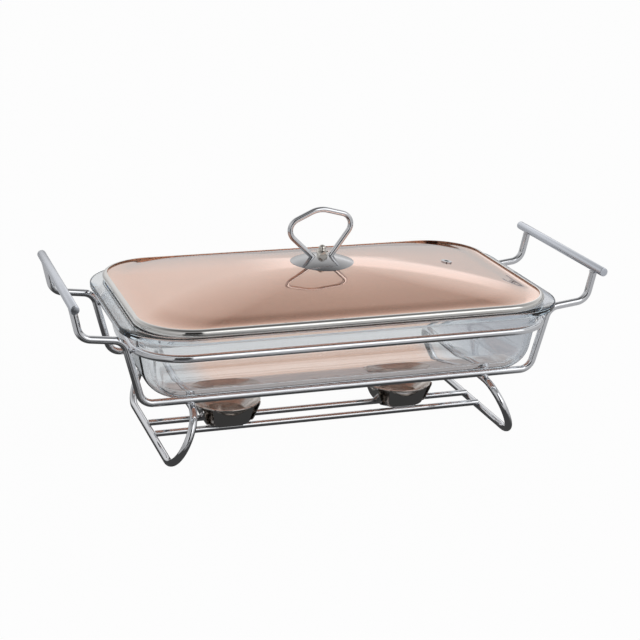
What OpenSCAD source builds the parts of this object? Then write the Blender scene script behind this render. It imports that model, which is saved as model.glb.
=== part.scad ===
// Glass chafing dish on a welded chrome wire stand.
// A rectangular glass dish rests on the stand's two long side wires inside a
// wire ring, a domed glass lid with a steel rim lifts off it, and two
// tealight pans stand in folded brackets on a pair of rails below.
// Millimetres, +Z up, +X along the dish. The origin is on the table, under
// the middle of the stand.

/* [Glass dish] */
// Length over the dish's flange
dish_len = 416; // [380:1:440]
// Width over the dish's flange
dish_wid = 236; // [220:1:250]
// Height of the dish
dish_h = 68.8; // [60:0.2:80]
// Plan radius of the flange's corners
dish_corner_r = 56; // [50:1:64]
// Width of the flange outside the wall
flange_w = 14; // [10:0.5:18]
// Thickness of the flange
flange_t = 6; // [4:0.5:8]
// Thickness of the wall and the floor
dish_wall = 5; // [3.5:0.5:6]
// Lean of the wall from upright, in degrees
dish_lean = 10; // [4:1:12]
// Outer radius where the wall meets the floor
dish_floor_r = 28; // [16:1:30]

/* [Stand wire] */
// Diameter of the side wires, the ring and the legs
wire_d = 7; // [6:0.5:8]
// Height of the side wires' long run above the table
deck_z = 61; // [54:0.5:70]
// Distance between the two side wires
side_gap = 142; // [128:1:156]
// Rise from the long run to the shelf
upright_h = 60.2; // [54:0.2:66]
// Outward lean of the uprights, in degrees
upright_lean = 14.6; // [10:0.2:18]
// Length of the shelf between upright and post
shelf_len = 38.5; // [32:0.5:46]
// Rise of the shelf towards the post
shelf_rise = 4.7; // [0:0.1:8]
// Height from the shelf to the handle bar
post_h = 32; // [26:0.5:40]
// Outward lean of the handle posts, in degrees
post_lean = 11.9; // [6:0.1:16]
// Bend radius of the side wires
side_bend_r = 13; // [9:0.5:15]
// Air left along a welded seam
weld_gap = 0.05; // [0.02:0.01:0.2]

/* [Dish ring] */
// Height of the ring above the table
ring_z = 112.5; // [100:0.5:116]
// Plan radius of the ring's corners
ring_r = 44; // [36:1:50]
// Air between the ring and the dish
ring_clear = 0.8; // [0.5:0.1:2]
// Air between the dish and the runs that it rests on
deck_clear = 0.3; // [0.2:0.05:0.5]

/* [Legs and rails] */
// Distance from the middle to each leg's floor run
foot_x = 165.5; // [150:0.5:180]
// How far each leg leans in from floor to top
foot_spread = 22.3; // [14:0.1:30]
// Length of each leg loop, between its centre lines
leg_len = 192; // [176:1:206]
// Diameter of the burner rails
rail_d = 6; // [5:0.5:7]
// Height of the burner rails above the table
rail_z = 7.2; // [6.5:0.1:8]
// Distance between the burner rails
rail_gap = 27.8; // [22:0.2:34]

/* [Handle bars] */
// Diameter of the handle bars
bar_d = 9; // [8:0.5:12]
// Length of the handle bars
bar_len = 178; // [166:1:190]
// Chamfer on the bars' ends
bar_chamfer = 0.6; // [0.2:0.1:1.2]

/* [Burners] */
// Distance from the middle to the left burner
left_burner_x = 93; // [78:0.5:98]
// How far the left burner stands towards the back
left_burner_y = -1.5; // [-6:0.5:6]
// Distance from the middle to the right burner
right_burner_x = 85; // [78:0.5:98]
// How far the right burner stands towards the back
right_burner_y = 6; // [-6:0.5:6]
// Sheet thickness of the brackets
bracket_t = 1; // [0.6:0.1:1.5]
// Width of a bracket's tab above its lower corners
tab_w = 35; // [30:0.5:37]
// Width of a bracket's tab at the top
tab_top_w = 39; // [34:0.5:44]
// Height of a bracket above its base
tab_h = 21; // [18:0.5:23]
// Outward lean of the tabs, in degrees
tab_lean = 20; // [12:1:26]
// Radius of the tabs' lower corners, beside the fold
tab_corner_r = 5; // [2:0.5:7]
// Radius of the tabs' upper corners
tab_tip_r = 2; // [1:0.5:4]
// Air between the well and the foot of the tabs
tab_air = 0.5; // [0.3:0.1:1.5]
// Inner radius of the tealight well
well_r = 19.5; // [19.2:0.1:20.4]
// Depth of the tealight well
well_depth = 7; // [5:0.5:10]
// Radius over the pan's rim
pan_r = 33.5; // [30:0.5:36]
// Rise of the pan from the well to the rim
pan_rise = 12.6; // [9:0.2:15]
// Sheet thickness of the pans
pan_t = 0.8; // [0.5:0.1:1.2]
// Diameter of the bead round the pan's rim
pan_bead_d = 2; // [1.6:0.1:2.6]
// Air between a pan's brim and its bracket's tabs
pan_clear = 0.4; // [0.3:0.1:1]

/* [Lid] */
// How far the lid's band sits in from the ends of the dish's flange
lid_end_inset = 12.5; // [4:0.5:16]
// How far the lid's band sits in from the sides of the dish's flange
lid_side_inset = 1; // [0:0.5:8]
// Plan radius of the lid's corners
lid_corner_r = 53; // [44:1:60]
// Thickness of the lid glass
lid_glass_t = 5; // [4:0.5:6]
// Rise of the lid's dome above its rim
dome_h = 20.7; // [12:0.1:26]
// Flat border of the lid glass inside its edge
lid_border = 6; // [4:0.5:9]
// Sheet thickness of the rim band
band_t = 1.2; // [0.8:0.1:1.6]
// Width of the band's top lip
band_lip = 3; // [2:0.1:4.5]
// Width of the band's lower lip
band_foot = 6; // [5:0.5:9]
// Outer radius of the band's rolled shoulder
band_roll_r = 2.6; // [2:0.1:2.8]
// Width of the ground arris on the lid glass's upper edge
lid_arris = 1.4; // [1.2:0.1:2]
// Air between the glass edge and the band
band_clear = 0.4; // [0.2:0.1:0.8]
// Distance from the middle to the steam vent
vent_x = 127.7; // [100:0.1:140]
// Diameter over the vent eyelet's collar
vent_d = 10.6; // [9.5:0.1:13]
// Diameter of the vent's bore
vent_bore = 4.6; // [3:0.1:5.2]
// Diameter of the eyelet's barrel
vent_barrel = 7; // [6:0.1:8]
// Thickness of the eyelet's collars
vent_collar_t = 0.9; // [0.6:0.1:1.4]
// Air between the eyelet and the glass
vent_clear = 0.15; // [0.1:0.05:0.3]

/* [Lid knob] */
// Diameter of the knob's round plate
plate_d = 60; // [50:1:68]
// Edge thickness of the plate
plate_edge_t = 1.4; // [1:0.1:2.5]
// Crown of the plate above its edge
plate_crown = 3; // [2:0.1:5]
// Diameter of the flat seat under the cap nut
plate_seat_d = 13; // [12:0.5:16]
// Diameter of the gaskets on the glass
gasket_d = 20; // [16:0.5:22]
// Thickness of the gaskets
gasket_t = 1; // [0.8:0.1:2]
// Diameter of the loop's wire
loop_d = 5.2; // [4:0.1:6]
// Height of the loop above the plate's underside
loop_h = 50.4; // [44:0.2:56]
// Width of the loop between the corners of its shoulders
loop_w = 75; // [64:0.5:80]
// Height of the loop's shoulders above the plate's underside
loop_shoulder_h = 36.8; // [32:0.2:40]
// Bend radius of the loop's shoulders
loop_bend_r = 11; // [7:0.5:12]
// Bend radius at the top of the loop
loop_top_r = 23; // [14:1:28]
// Air between the loop's feet and the cap nut
loop_nut_air = 0.9; // [0.5:0.1:3]
// Sideways lean of the loop on its plate, in degrees
loop_tilt = 5; // [0:0.5:6]
// Diameter of the knob's screw
screw_d = 6; // [5:0.5:6]
// Diameter of the screw's head
screw_head_d = 11; // [9:0.5:13]
// Height of the screw's head
screw_head_h = 3; // [2:0.1:4]
// Radial air round the screw
screw_clear = 0.1; // [0.05:0.05:0.3]
// Diameter of the washer under the glass
washer_d = 18; // [14:0.5:20]
// Thickness of the washer
washer_t = 1.2; // [0.8:0.1:2]
// Width of the cap nut across its flats
nut_af = 10; // [9:0.1:11]
// Height of the cap nut's hexagon
nut_h = 5.8; // [5:0.1:8]
// Diameter of the cap nut's dome
nut_dome_d = 7.5; // [7:0.1:8.8]
// Height of the straight part under the dome
nut_neck_h = 1.8; // [1:0.1:4]

/* [Hidden] */
$fn = 48;

// Colours, as seen
chrome_c = "#C9CDD2";
satin_c = "#B9C0C8";
glass_c = "#CFE3EC80";
copper_glass_c = "#C08A6A90";
steel_c = "#8C8C8E";
gasket_c = "#2E2C2C";

// Small overlap for cutters only
eps = 0.01;
// Hairline seam where a bend meets a straight: its width, its depth, and the
// length of the core that carries the wire through it
seam_w = 0.1;
seam_depth = 1;
seam_core = 4;

// Dish wall, measured from its underside
dish_z = deck_z + wire_d / 2 + deck_clear;
dish_top_z = dish_z + dish_h;
flange_z = dish_h - flange_t;
wall_u = dish_corner_r - flange_w;
function wall_at(h) = wall_u - (flange_z - h) * tan(dish_lean);
floor_u = wall_at(dish_floor_r) - dish_floor_r / cos(dish_lean);
// Half sizes of the outer wall at a height above the dish's underside
function wall_hx(h) = dish_len / 2 - dish_corner_r + wall_at(h);
function wall_hy(h) = dish_wid / 2 - dish_corner_r + wall_at(h);

// Ring round the dish wall
ring_hx = wall_hx(ring_z - dish_z) + ring_clear + wire_d / 2;
ring_hy = wall_hy(ring_z - dish_z) + ring_clear + wire_d / 2;
side_y = side_gap / 2;
// How far the ring's corner has turned in where the uprights cross it
ring_over = max(0, side_y - (ring_hy - ring_r));
ring_turn = ring_r - sqrt(ring_r * ring_r - ring_over * ring_over);

// Side wire corners, as [x, z], worked out from the weld at the ring
upright_x = ring_hx - ring_turn + (wire_d + weld_gap) / cos(upright_lean);
shelf_z = deck_z + upright_h;
shelf_x = upright_x + (shelf_z - ring_z) * tan(upright_lean);
deck_x = upright_x - (ring_z - deck_z) * tan(upright_lean);
post_x = shelf_x + shelf_len;
post_z = shelf_z + shelf_rise;
bar_z = post_z + post_h;
bar_x = post_x + post_h * tan(post_lean);

// Leg loop: a stadium in a leaning plane, welded under the side wires
leg_z = wire_d / 2;
leg_reach = leg_len / 2;
leg_rise = deck_z - wire_d - weld_gap - leg_z;
leg_lean = atan(foot_spread / leg_rise);
leg_slant = leg_rise / cos(leg_lean);

// Burners
rail_y = rail_gap / 2;
bracket_z = rail_z + rail_d / 2;
pan_z = bracket_z + bracket_t;
well_out_r = well_r + pan_t;
well_rim_h = pan_t + well_depth;
pan_slope = atan(pan_rise / (pan_r - well_out_r));
// Where the brim ends underneath, and the middle of the bead there, as [r, z]
pan_rim = [pan_r - pan_bead_d / 2, well_rim_h + pan_rise - pan_bead_d / 2 * tan(pan_slope)];
pan_bead = pan_rim + pan_t / 2 * [-sin(pan_slope), cos(pan_slope)];
// Half the side of a bracket's base, and the radius that rounds its corners
bracket_half = well_out_r + tab_air + bracket_t / cos(tab_lean) - bracket_t * tan(tab_lean);
bracket_round_r = norm([bracket_half, tab_w / 2 - tab_corner_r]) + bracket_t / 2;

// Lid, from the flange up
lid_z = dish_top_z;
lid_len = dish_len - 2 * lid_end_inset;
lid_wid = dish_wid - 2 * lid_side_inset;
lid_glass_z = lid_z + band_t;
lid_rim_z = lid_glass_z + lid_glass_t;
lid_band_h = lid_glass_t + 2 * band_t;
glass_hx = lid_len / 2 - band_t - band_clear;
glass_hy = lid_wid / 2 - band_t - band_clear;
glass_r = lid_corner_r - band_t - band_clear;
dome_hx = glass_hx - lid_border;
dome_hy = glass_hy - lid_border;
dome_r = glass_r - lid_border;
dome_cap = 0.12;
dome_steps = 11;
corner_steps = 8;
crown_z = lid_rim_z + dome_h * (1 - dome_cap * dome_cap);

// Vent, square to the dome where it sits
vent_share = vent_x / dome_hx;
vent_z = lid_rim_z + dome_h * (1 - vent_share * vent_share);
vent_tilt = atan(2 * dome_h * vent_share / dome_hx);

// Knob stack
plate_z = crown_z + gasket_t;
plate_h = plate_edge_t + plate_crown;
crown_r = (pow(plate_d / 2, 2) + plate_crown * plate_crown) / (2 * plate_crown);
seat_r = plate_seat_d / 2;
seat_h = plate_h - crown_r + sqrt(crown_r * crown_r - seat_r * seat_r);
nut_z = plate_z + seat_h;
nut_bore_h = nut_h;
// Loop's legs, leaning out from beside the nut to the shoulders
loop_rise = loop_shoulder_h - seat_h;
loop_lean = atan((loop_w / 2 - nut_af / 2 - loop_nut_air - loop_d / 2) / loop_rise);
loop_foot_x = nut_af / 2 + loop_nut_air + loop_d / 2 / cos(loop_lean);
under_z = crown_z - lid_glass_t;
washer_z = under_z - gasket_t - washer_t;

// Plane vectors for the wire paths
function unit(v) = v / norm(v);
function turn(p, q, r) = 180 - acos(max(-1, min(1, unit(p - q) * unit(r - q))));
function setback(p, q, r, rad) = rad * tan(turn(p, q, r) / 2);

// A straight piece of wire between two points of the XY plane
module straight_wire(p, q, d) {
    v = q - p;
    translate([p.x, p.y, 0]) rotate([0, 0, atan2(v.y, v.x)]) rotate([0, 90, 0])
        cylinder(h = norm(v), d = d);
}

// A bend of the given radius at q, between its neighbours p and r, with a core
// at each end that makes it one solid with the straights
module bent_wire(p, q, r, rad, d) {
    a = unit(p - q);
    b = unit(r - q);
    sweep = turn(p, q, r);
    back = setback(p, q, r, rad);
    c = q + unit(a + b) * rad / cos(sweep / 2);
    first = a.x * b.y - a.y * b.x < 0 ? a : b;
    from = q + first * back - c;
    trim = seam_w / 2 / rad * 180 / PI;
    translate([c.x, c.y, 0]) rotate([0, 0, atan2(from.y, from.x) + trim])
        rotate_extrude(angle = sweep - 2 * trim) translate([rad, 0]) circle(d = d);
    for (v = [a, b])
        straight_wire(q + v * (back - seam_core / 2), q + v * (back + seam_core / 2), d - 2 * seam_depth);
}

// An open wire through the points, bent to one radius per inner point
module wire(pts, rads, d) {
    n = len(pts);
    back = [for (i = [0:n - 1]) i == 0 || i == n - 1 ? 0
        : setback(pts[i - 1], pts[i], pts[i + 1], rads[i]) + seam_w / 2];
    for (i = [0:n - 2]) {
        v = unit(pts[i + 1] - pts[i]);
        straight_wire(pts[i] + v * back[i], pts[i + 1] - v * back[i + 1], d);
    }
    for (i = [1:n - 2]) bent_wire(pts[i - 1], pts[i], pts[i + 1], rads[i], d);
}

// Repeats a quarter in all four quarters of the plan
module four_quarters() {
    for (mx = [0, 1], my = [0, 1]) mirror([mx, 0, 0]) mirror([0, my, 0]) children();
}

// A closed rounded rectangle of wire in the XY plane
module wire_loop(hx, hy, r, d) {
    four_quarters() translate([hx - r, hy - r, 0]) {
        rotate_extrude(angle = 90) translate([r, 0]) circle(d = d);
        if (hy > r) translate([r, 0, 0]) rotate([90, 0, 0]) cylinder(h = hy - r, d = d);
        if (hx > r) translate([0, r, 0]) rotate([0, -90, 0]) cylinder(h = hx - r, d = d);
    }
}

// Carries a 2D section round a rounded rectangle. The section's x runs
// outwards from the centre of a corner, its y runs up.
module sweep_round(hx, hy, r) {
    four_quarters() translate([hx - r, hy - r, 0]) {
        rotate_extrude(angle = 90) children();
        rotate([90, 0, 0]) linear_extrude(hy - r) children();
        mirror([1, -1, 0]) rotate([90, 0, 0]) linear_extrude(hx - r) children();
    }
}

// Corners of a side wire from the left bar to the right bar
side_half = [[bar_x, bar_z], [post_x, post_z], [shelf_x, shelf_z], [deck_x, deck_z]];
side_path = concat([for (p = side_half) [-p.x, p.y]], [for (i = [3:-1:0]) side_half[i]]);

// Left or right handle bar as a plain rod, for the bar and for coping the posts
module rod(sx, extra = 0) {
    translate([sx * bar_x, bar_len / 2, bar_z]) rotate([90, 0, 0])
        cylinder(h = bar_len, d = bar_d + 2 * extra);
}

module side_wire(sy) {
    color(chrome_c) difference() {
        translate([0, sy * side_y, 0]) rotate([90, 0, 0])
            wire(side_path, [for (p = side_path) side_bend_r], wire_d);
        rod(-1, weld_gap);
        rod(1, weld_gap);
    }
}

module front_side_wire() { side_wire(-1); }

module back_side_wire() { side_wire(1); }

module dish_ring() {
    color(chrome_c) translate([0, 0, ring_z]) wire_loop(ring_hx, ring_hy, ring_r, wire_d);
}

// One leg, a loop whose plane leans in towards the middle
module leg(sx) {
    color(chrome_c) translate([sx * foot_x, 0, leg_z]) rotate([0, -sx * leg_lean, 0])
        translate([0, 0, leg_slant / 2]) rotate([0, 90, 0])
            wire_loop(leg_slant / 2, leg_reach, leg_slant / 2, wire_d);
}

module left_leg() { leg(-1); }

module right_leg() { leg(1); }

// A rail between the legs, its ends coped round their floor runs
module rail(sy) {
    color(chrome_c) difference() {
        translate([-foot_x, sy * rail_y, rail_z]) rotate([0, 90, 0])
            cylinder(h = 2 * foot_x, d = rail_d);
        for (sx = [-1, 1]) {
            translate([sx * foot_x, leg_reach, leg_z]) rotate([90, 0, 0])
                cylinder(h = 2 * leg_reach, d = wire_d + 2 * weld_gap);
            translate([sx * foot_x - (sx > 0 ? rail_d / 4 : rail_d), sy * rail_y - rail_d, 0])
                cube([rail_d * 1.25, 2 * rail_d, 2 * rail_z]);
        }
    }
}

module front_rail() { rail(-1); }

module back_rail() { rail(1); }

module handle_bar(sx) {
    body = bar_len - 2 * bar_chamfer;
    color(satin_c) translate([sx * bar_x, bar_len / 2, bar_z]) rotate([90, 0, 0]) {
        cylinder(h = bar_chamfer, d1 = bar_d - 2 * bar_chamfer, d2 = bar_d);
        translate([0, 0, bar_chamfer]) cylinder(h = body, d = bar_d);
        translate([0, 0, bar_chamfer + body])
            cylinder(h = bar_chamfer, d1 = bar_d, d2 = bar_d - 2 * bar_chamfer);
    }
}

module left_handle_bar() { handle_bar(-1); }

module right_handle_bar() { handle_bar(1); }

// Outline of a pair of opposite tabs seen face on, with its corners rounded
module tab_outline() {
    bw = tab_w / 2;
    tw = tab_top_w / 2;
    low = tab_corner_r;
    high = tab_h + bracket_t;
    rise = high - low;
    run = norm([rise, tw - bw]);
    tip = bw + ((rise - tab_tip_r) * (tw - bw) - tab_tip_r * run) / rise;
    edge = [tip, high - tab_tip_r] + (tab_tip_r - seam_w / 2) * [rise, bw - tw] / run;
    polygon([[-bw, low], [bw, low], edge, [tip, high], [-tip, high], [-edge.x, edge.y]]);
    translate([low - bw, -bracket_t]) square([2 * (bw - low), low + bracket_t]);
    for (s = [-1, 1]) {
        translate([s * tip, high - tab_tip_r]) circle(r = tab_tip_r);
        translate([s * (bw - low), low - bracket_t]) circle(r = low);
        translate([s * (bw - low / 2) - low / 2, low - bracket_t]) square([low, bracket_t]);
    }
}

// Folded section through the base and two opposite tabs
module tab_section() {
    b = bracket_half;
    out = (tab_h + bracket_t) * tan(tab_lean);
    side = bracket_t / cos(tab_lean);
    fold = b - side + bracket_t * tan(tab_lean);
    top = b + out - side;
    polygon([[-b, 0], [b, 0], [b + out, tab_h + bracket_t], [top, tab_h + bracket_t], [fold, bracket_t],
        [-fold, bracket_t], [-top, tab_h + bracket_t], [-b - out, tab_h + bracket_t]]);
}

// Space that the pan takes above the bracket's base, grown by the clearance
module pan_space() {
    g = pan_clear / cos(pan_slope);
    wide = pan_r + pan_bead_d;
    reach = well_rim_h + (wide - well_out_r) * tan(pan_slope) - g;
    inner = well_rim_h + pan_clear * tan(pan_slope) - g;
    rotate_extrude($fn = 96) {
        polygon([[0, 0], [well_out_r + pan_clear, 0], [well_out_r + pan_clear, inner], [wide, reach], [0, reach]]);
        translate(pan_bead) circle(d = pan_bead_d + 2 * pan_clear);
    }
}

// Folded bracket: a square base and four tabs, cut back round the pan
module bracket(x, y) {
    reach = 2 * (bracket_half + tab_h);
    color(steel_c) translate([x, y, bracket_z]) difference() {
        union() {
            for (q = [0, 90]) rotate([0, 0, q]) intersection() {
                translate([-reach / 2, 0, 0]) rotate([90, 0, 90]) linear_extrude(reach) tab_section();
                translate([0, reach / 2, 0]) rotate([90, 0, 0]) linear_extrude(reach) tab_outline();
            }
            intersection() {
                translate([-bracket_half, -bracket_half, 0])
                    cube([2 * bracket_half, 2 * bracket_half, bracket_t]);
                cylinder(h = bracket_t, r = bracket_round_r);
            }
        }
        translate([0, 0, bracket_t]) pan_space();
    }
}

module left_bracket() { bracket(-left_burner_x, left_burner_y); }

module right_bracket() { bracket(right_burner_x, right_burner_y); }

// Tealight pan: a straight well and a flared brim with a beaded rim
module pan(x, y) {
    a = pan_slope;
    lip = well_rim_h + pan_t * cos(a) - (pan_t - pan_t * sin(a)) * tan(a);
    inner_rim = pan_rim + pan_t * [-sin(a), cos(a)];
    color(steel_c) translate([x, y, pan_z]) rotate_extrude($fn = 96) {
        polygon([[0, 0], [well_out_r, 0], [well_out_r, well_rim_h], pan_rim, inner_rim,
            [well_r, lip], [well_r, pan_t], [0, pan_t]]);
        translate(pan_bead) circle(d = pan_bead_d);
    }
}

module left_pan() { pan(-left_burner_x, left_burner_y); }

module right_pan() { pan(right_burner_x, right_burner_y); }

// Half section of the dish's outside, without its flange
module dish_outside() {
    r = dish_floor_r;
    edge = [floor_u + r * cos(dish_lean), r - r * sin(dish_lean)];
    polygon([[0, 0], [floor_u, 0], edge, [wall_u, flange_z], [wall_u, dish_h], [0, dish_h]]);
    intersection() {
        translate([floor_u, r]) circle(r = r, $fn = 96);
        square([dish_corner_r, dish_h]);
    }
}

// Half section of the dish's inside
module dish_inside() {
    r = dish_floor_r - dish_wall;
    edge = [floor_u + r * cos(dish_lean), dish_floor_r - r * sin(dish_lean)];
    mouth = wall_at(dish_h) - dish_wall / cos(dish_lean);
    polygon([[-eps, dish_wall], [floor_u, dish_wall], edge, [mouth, dish_h], [mouth, dish_h + eps],
        [-eps, dish_h + eps]]);
    translate([floor_u, dish_floor_r]) circle(r = r, $fn = 96);
}

// Half section of the dish: wall, floor and a flange with a round edge
module dish_section() {
    difference() {
        union() {
            dish_outside();
            translate([0, flange_z]) square([dish_corner_r - flange_t / 2, flange_t]);
            translate([dish_corner_r - flange_t / 2, flange_z + flange_t / 2]) circle(d = flange_t);
        }
        dish_inside();
    }
}

module glass_dish() {
    hx = dish_len / 2;
    hy = dish_wid / 2;
    r = dish_corner_r;
    color(glass_c) translate([0, 0, dish_z]) {
        sweep_round(hx, hy, r) dish_section();
        four_quarters() cube([hx - r, hy - r, dish_wall]);
    }
}

// One level ring of points round the lid glass
function lid_ring(hx, hy, r, z) = [for (k = [0:3]) for (i = [0:corner_steps])
    let (a = 90 * k + 90 * i / corner_steps,
        sx = k == 0 || k == 3 ? 1 : -1,
        sy = k < 2 ? 1 : -1)
    [sx * (hx - r) + r * cos(a), sy * (hy - r) + r * sin(a), z]];

// One ring of the dome, at share s of its half sizes, dropped by a depth. The
// corners grow rounder towards the crown.
function dome_ring(s, drop) = lid_ring(s * dome_hx, s * dome_hy, s * (dome_hy + (dome_r - dome_hy) * s * s),
    lid_rim_z + dome_h * (1 - s * s) - drop);

// Domed glass, lofted through level rings from the crown out and back below
module dome_loft() {
    shares = [for (i = [0:dome_steps]) dome_cap + (1 - dome_cap) * i / dome_steps];
    rings = concat([for (s = shares) dome_ring(s, 0)],
        [lid_ring(glass_hx - lid_arris, glass_hy - lid_arris, glass_r - lid_arris, lid_rim_z)],
        [lid_ring(glass_hx, glass_hy, glass_r, lid_rim_z - lid_arris)],
        [lid_ring(glass_hx, glass_hy, glass_r, lid_glass_z)],
        [for (i = [dome_steps:-1:0]) dome_ring(shares[i], lid_glass_t)]);
    m = 4 * (corner_steps + 1);
    n = len(rings);
    sides = [for (j = [0:n - 2]) for (i = [0:m - 1]) each [
        [j * m + i, (j + 1) * m + i, (j + 1) * m + (i + 1) % m],
        [j * m + i, (j + 1) * m + (i + 1) % m, j * m + (i + 1) % m]]];
    polyhedron(points = [for (g = rings) each g],
        faces = concat([[for (i = [0:m - 1]) i]], sides, [[for (i = [m - 1:-1:0]) (n - 1) * m + i]]));
}

// Stands its children on the dome at the vent, square to the glass
module at_vent() {
    translate([vent_x, 0, vent_z]) rotate([0, vent_tilt, 0]) children();
}

module lid_glass() {
    color(copper_glass_c) difference() {
        dome_loft();
        translate([0, 0, under_z - eps]) cylinder(h = lid_glass_t + 2 * eps, d = screw_d + 4 * screw_clear);
        at_vent() translate([0, 0, -2 * lid_glass_t])
            cylinder(h = 3 * lid_glass_t, d = vent_barrel + 2 * vent_clear);
    }
}

// Block with a rolled upper corner, inset all round for the band's inside
module rolled_block(inset) {
    r = lid_corner_r;
    roll = [r - band_roll_r, lid_band_h - band_roll_r];
    translate([r - 2 * band_foot, inset]) square([2 * band_foot - band_roll_r, lid_band_h - 2 * inset]);
    translate([r - 2 * band_foot, inset]) square([2 * band_foot - inset, roll.y - inset]);
    translate(roll) circle(r = band_roll_r - inset);
}

// Rim band: a C-shaped steel strip rolled over the glass edge
module lid_band() {
    r = lid_corner_r;
    color(chrome_c) translate([0, 0, lid_z]) sweep_round(lid_len / 2, lid_wid / 2, r) difference() {
        rolled_block(0);
        rolled_block(band_t);
        translate([r - 3 * band_foot, -eps]) square([2 * band_foot, lid_band_h + 2 * eps]);
        translate([r - 2 * band_foot, band_t]) square([2 * band_foot - band_lip, lid_band_h]);
    }
}

// Vent eyelet: a barrel through the glass with a collar on each side
module vent_eyelet() {
    half = lid_glass_t + vent_clear;
    color(chrome_c) at_vent() difference() {
        union() {
            translate([0, 0, vent_clear]) cylinder(h = vent_collar_t, d = vent_d);
            translate([0, 0, -half]) cylinder(h = half + vent_clear, d = vent_barrel);
            translate([0, 0, -half - vent_collar_t]) cylinder(h = vent_collar_t, d = vent_d);
        }
        translate([0, 0, -2 * half]) cylinder(h = 4 * half, d = vent_bore);
    }
}

// A flat ring round the knob's screw
module screw_ring(z, h, d) {
    translate([0, 0, z]) difference() {
        cylinder(h = h, d = d);
        translate([0, 0, -eps]) cylinder(h = h + 2 * eps, d = screw_d + 2 * screw_clear);
    }
}

module knob_gasket() { color(gasket_c) screw_ring(crown_z, gasket_t, gasket_d); }

module knob_lower_gasket() { color(gasket_c) screw_ring(under_z - gasket_t, gasket_t, gasket_d); }

module knob_washer() { color(chrome_c) screw_ring(washer_z, washer_t, washer_d); }

// Plate's body: a disc with a crowned top and a flat seat in the middle
module plate_body(grow = 0) {
    translate([0, 0, plate_z]) rotate_extrude($fn = 96) intersection() {
        square([plate_d / 2, seat_h + grow]);
        translate([0, plate_h - crown_r]) circle(r = crown_r + grow, $fn = 360);
    }
}

module knob_plate() {
    color(chrome_c) difference() {
        plate_body();
        translate([0, 0, plate_z - eps]) cylinder(h = plate_h + 2 * eps, d = screw_d + 2 * screw_clear);
    }
}

// Corners of the loop as [x, z] above the plate's underside
loop_foot = [loop_foot_x - loop_d * tan(loop_lean), seat_h - loop_d];
loop_shoulder = [loop_w / 2, loop_shoulder_h];
loop_path = [[-loop_foot.x, loop_foot.y], [-loop_shoulder.x, loop_shoulder.y], [0, loop_h],
    loop_shoulder, loop_foot];
loop_rads = [0, loop_bend_r, loop_top_r, loop_bend_r, 0];

module knob_loop() {
    color(chrome_c) difference() {
        translate([0, 0, nut_z]) rotate([0, -loop_tilt, 0]) translate([0, 0, -seat_h]) rotate([90, 0, 0])
            wire(loop_path, loop_rads, loop_d);
        plate_body(weld_gap);
        translate([-loop_w / 2, -loop_d, plate_z - loop_d]) cube([loop_w, 2 * loop_d, loop_d]);
    }
}

// Acorn nut: hexagon, neck and dome, with a blind bore for the screw
module knob_cap_nut() {
    neck_z = nut_h + nut_neck_h;
    color(chrome_c) translate([0, 0, nut_z]) difference() {
        union() {
            rotate([0, 0, 30]) cylinder(h = nut_h, d = nut_af / cos(30), $fn = 6);
            rotate_extrude() {
                square([nut_dome_d / 2, neck_z]);
                intersection() {
                    translate([0, neck_z]) circle(d = nut_dome_d);
                    translate([0, neck_z]) square(nut_dome_d);
                }
            }
        }
        translate([0, 0, -eps]) cylinder(h = nut_bore_h + eps, d = screw_d + 2 * screw_clear);
    }
}

// Screw from under the lid, its head against the washer
module knob_screw() {
    color(steel_c) translate([0, 0, washer_z - screw_head_h]) {
        cylinder(h = screw_head_h, d = screw_head_d);
        cylinder(h = nut_z + nut_bore_h - washer_z + screw_head_h - screw_clear, d = screw_d);
    }
}

front_side_wire();
back_side_wire();
dish_ring();
left_leg();
right_leg();
front_rail();
back_rail();
left_handle_bar();
right_handle_bar();
left_bracket();
right_bracket();
left_pan();
right_pan();
glass_dish();
lid_glass();
lid_band();
vent_eyelet();
knob_gasket();
knob_plate();
knob_loop();
knob_cap_nut();
knob_screw();
knob_washer();
knob_lower_gasket();
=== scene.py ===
import math

import bmesh
import bpy
from mathutils import Matrix, Vector, noise


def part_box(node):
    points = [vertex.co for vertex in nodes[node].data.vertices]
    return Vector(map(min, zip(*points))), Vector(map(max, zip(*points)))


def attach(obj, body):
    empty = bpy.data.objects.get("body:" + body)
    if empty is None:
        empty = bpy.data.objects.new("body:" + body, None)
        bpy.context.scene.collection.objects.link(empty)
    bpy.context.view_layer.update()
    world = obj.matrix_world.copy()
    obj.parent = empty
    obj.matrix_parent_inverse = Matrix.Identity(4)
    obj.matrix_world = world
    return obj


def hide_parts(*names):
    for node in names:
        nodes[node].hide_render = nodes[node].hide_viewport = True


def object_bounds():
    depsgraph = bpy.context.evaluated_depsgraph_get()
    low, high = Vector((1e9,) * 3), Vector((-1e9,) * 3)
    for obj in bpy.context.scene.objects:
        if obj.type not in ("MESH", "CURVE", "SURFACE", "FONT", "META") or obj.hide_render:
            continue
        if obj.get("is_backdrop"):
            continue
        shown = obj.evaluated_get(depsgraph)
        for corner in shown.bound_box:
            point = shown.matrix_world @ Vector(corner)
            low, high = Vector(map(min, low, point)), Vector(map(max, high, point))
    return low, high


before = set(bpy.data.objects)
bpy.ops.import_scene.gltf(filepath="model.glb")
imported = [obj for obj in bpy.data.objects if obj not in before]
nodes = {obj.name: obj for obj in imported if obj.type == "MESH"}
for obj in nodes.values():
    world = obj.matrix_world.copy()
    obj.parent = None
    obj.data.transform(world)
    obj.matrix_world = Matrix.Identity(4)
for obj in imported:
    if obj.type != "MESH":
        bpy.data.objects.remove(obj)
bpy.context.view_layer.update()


# Side wires
# Two 7 mm steel wires, bent cold and chromed. Each runs under the dish, turns up beside it,
# steps out into a shelf and ends in a post that is welded under a handle bar.
wire_r = 0.0035
side_bend_r = 0.013
post_h = 0.032
post_lean = math.radians(11.9)
shelf_len = 0.0385
shelf_rise = 0.0047
upright_h = 0.0602
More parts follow.
